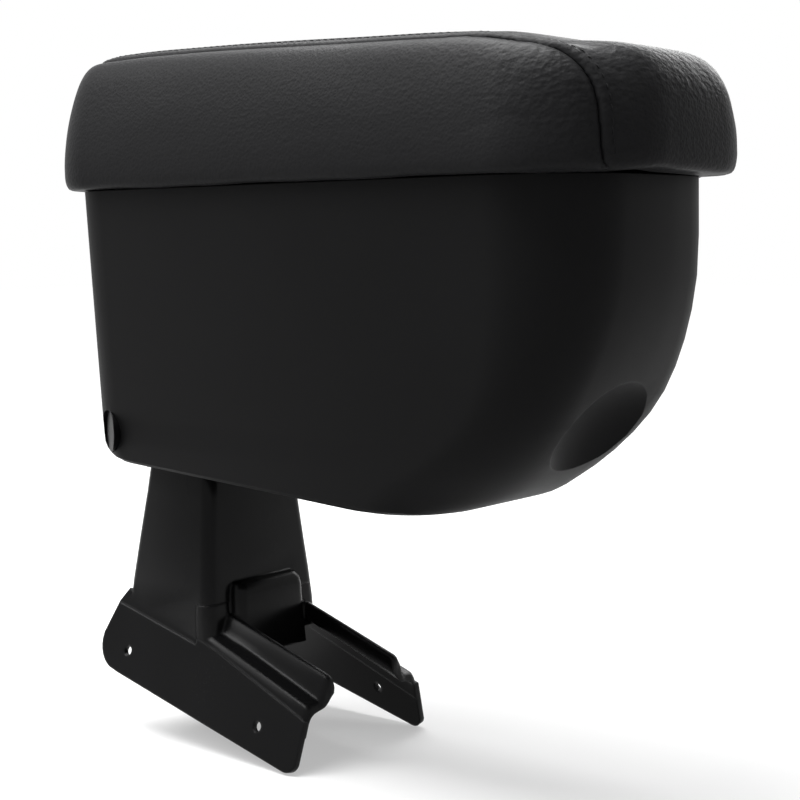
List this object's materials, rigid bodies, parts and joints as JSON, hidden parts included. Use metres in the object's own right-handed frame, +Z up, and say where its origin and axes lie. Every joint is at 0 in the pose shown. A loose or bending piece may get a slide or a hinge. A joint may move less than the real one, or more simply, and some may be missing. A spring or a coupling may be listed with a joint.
{
  "type": "car centre armrest",
  "caption": "Black car centre armrest: padded, sewn lid hinged on a moulded storage box that tilts up on a moulded foot screwed astride the centre console.",
  "frame": {"origin": "on the middle plane, midway between the four console screw holes", "axes": "+X towards the armrest's nose, forward in the car; +Y to the left; +Z up"},
  "size_m": [0.3359, 0.14, 0.3423],
  "materials": {
    "foot_plastic": "semi-gloss moulded black plastic",
    "box_plastic": "fine satin-matte moulded black plastic",
    "cap_plastic": "satin black plastic",
    "cover": "satin black grained imitation leather, sewn",
    "foam": "cut polyurethane foam",
    "rubber": "matt black rubber",
    "nylon": "natural nylon",
    "zinc_steel": "zinc-plated steel",
    "hinge_steel": "black-coated steel"
  },
  "bodies": {
    "foot": {"foot_moulding": "foot_plastic", "foot_flange_left": "foot_plastic", "foot_flange_right": "foot_plastic", "stalk_bracket": "zinc_steel", "bracket_screws": "zinc_steel", "pivot_spacer": "zinc_steel", "pivot_bush_left": "nylon", "pivot_bush_right": "nylon", "tilt_stop_pad": "rubber"},
    "box": {"box_shell": "box_plastic", "box_floor_mat": "rubber", "pivot_bolt": "zinc_steel", "pivot_nut": "zinc_steel", "pivot_washers": "zinc_steel", "pivot_cap_left": "cap_plastic", "pivot_cap_right": "cap_plastic", "rim_buffers": "rubber", "hinge_lower_leaf": "hinge_steel", "hinge_lower_screws": "zinc_steel", "hinge_pin": "zinc_steel"},
    "lid": {"lid_base": "box_plastic", "lid_foam": "foam", "cover_side_panel": "cover", "cover_top_panel": "cover", "cover_staples": "zinc_steel", "hinge_upper_leaf": "hinge_steel", "hinge_upper_screws": "zinc_steel"}
  },
  "joints": [
    {"name": "tilt", "type": "hinge", "parent": "foot", "child": "box", "pos_m": [-0.0405, 0, 0.1265], "axis": [0, -1, 0], "range_deg": [0, 90]},
    {"name": "lid_hinge", "type": "hinge", "parent": "box", "child": "lid", "pos_m": [-0.0705, 0, 0.2441], "axis": [0, -1, 0], "range_deg": [0, 95]}
  ]
}
